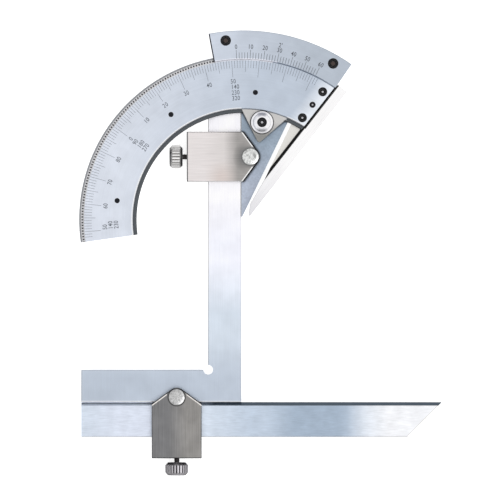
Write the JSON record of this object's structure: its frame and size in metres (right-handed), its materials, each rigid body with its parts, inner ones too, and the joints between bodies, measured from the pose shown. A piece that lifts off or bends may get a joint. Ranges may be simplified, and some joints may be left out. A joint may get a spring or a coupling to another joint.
{
  "type": "bevel protractor",
  "caption": "Universal bevel protractor: toothed scale arc with base blade, vernier on a sector plate, and a clamped square and rule.",
  "frame": {"origin": "middle of the bounding box on the rest plane, with the tool lying on its back", "axes": "+Z out of the dial's face, +X along the rule towards its slanted end, +Y along the square's stem towards the arc"},
  "size_m": [0.1509, 0.185, 0.0137],
  "materials": {
    "sector_steel": "satin, darkened",
    "dial_steel": "satin matt",
    "black_steel": "blackened",
    "guide_steel": "ground, warm grey",
    "turned_steel": "turned and polished",
    "bush_bronze": "turned",
    "gear_steel": "darkened",
    "blade_steel": "lapped",
    "clamp_steel": "brushed lengthwise",
    "lower_clamp_steel": "brushed",
    "rule_steel": "ground"
  },
  "bodies": {
    "sector": {"sector_plate": "sector_steel", "vernier_plate": "dial_steel", "vernier_screws": "black_steel", "lock_plate": "guide_steel", "brake_stud": "black_steel", "brake_washer": "turned_steel", "pinion_bush": "bush_bronze", "upper_clamp_block": "clamp_steel", "upper_clamp_pin": "turned_steel"},
    "scale": {"gear_ring": "gear_steel", "dial_plate": "dial_steel", "dial_pins": "black_steel", "base_blade": "blade_steel", "blade_screws": "black_steel", "blade_dowel": "black_steel"},
    "brake": {"brake_nut": "turned_steel"},
    "pinion": {"pinion_shaft": "gear_steel", "adjusting_knob": "turned_steel", "knob_screw": "black_steel"},
    "upper_shoe": {"upper_shoe": "guide_steel"},
    "upper_screw": {"upper_thumb_screw": "turned_steel"},
    "square": {"square": "rule_steel", "lower_clamp_block": "lower_clamp_steel", "lower_clamp_pin": "turned_steel"},
    "lower_shoe": {"lower_shoe": "guide_steel"},
    "lower_screw": {"lower_thumb_screw": "turned_steel"},
    "rule": {"rule": "rule_steel"}
  },
  "joints": [
    {"name": "scale_swing", "type": "hinge", "parent": "sector", "child": "scale", "pos_m": [-0.00705, 0.01383, 0.00835], "axis": [0, 0, 1], "range_deg": [-92, 0]},
    {"name": "pinion_spin", "type": "hinge", "parent": "sector", "child": "pinion", "pos_m": [0.00759, 0.0827, 0.00885], "axis": [0, 0, 1], "range_deg": [-1, 1845]},
    {"name": "brake_turn", "type": "hinge", "parent": "sector", "child": "brake", "pos_m": [0.00059, 0.05426, 0.0126], "axis": [0, 0, 1], "range_deg": [0, 180]},
    {"name": "upper_shoe_slide", "type": "slide", "parent": "sector", "child": "upper_shoe", "axis": [1, 0, 0], "range_m": [-0.0009, 0]},
    {"name": "upper_screw_turn", "type": "hinge", "parent": "upper_shoe", "child": "upper_screw", "pos_m": [-0.0292, 0.04002, 0.00505], "axis": [1, 0, 0], "range_deg": [-721, 1]},
    {"name": "square_slide", "type": "slide", "parent": "sector", "child": "square", "axis": [0, 1, 0], "range_m": [-0.012, 0.005]},
    {"name": "lower_shoe_slide", "type": "slide", "parent": "square", "child": "lower_shoe", "axis": [0, 1, 0], "range_m": [-0.0009, 0]},
    {"name": "lower_screw_turn", "type": "hinge", "parent": "lower_shoe", "child": "lower_screw", "pos_m": [-0.03485, -0.08488, 0.00505], "axis": [0, 1, 0], "range_deg": [-721, 1]},
    {"name": "rule_slide", "type": "slide", "parent": "square", "child": "rule", "axis": [1, 0, 0], "range_m": [-0.08, 0.025]}
  ],
  "couplings": [
    {"joint": "pinion_spin", "follows": "scale_swing", "ratio": -20},
    {"joint": "upper_screw_turn", "follows": "upper_shoe_slide", "rad_per_m": 13963},
    {"joint": "lower_screw_turn", "follows": "lower_shoe_slide", "rad_per_m": 13963}
  ]
}
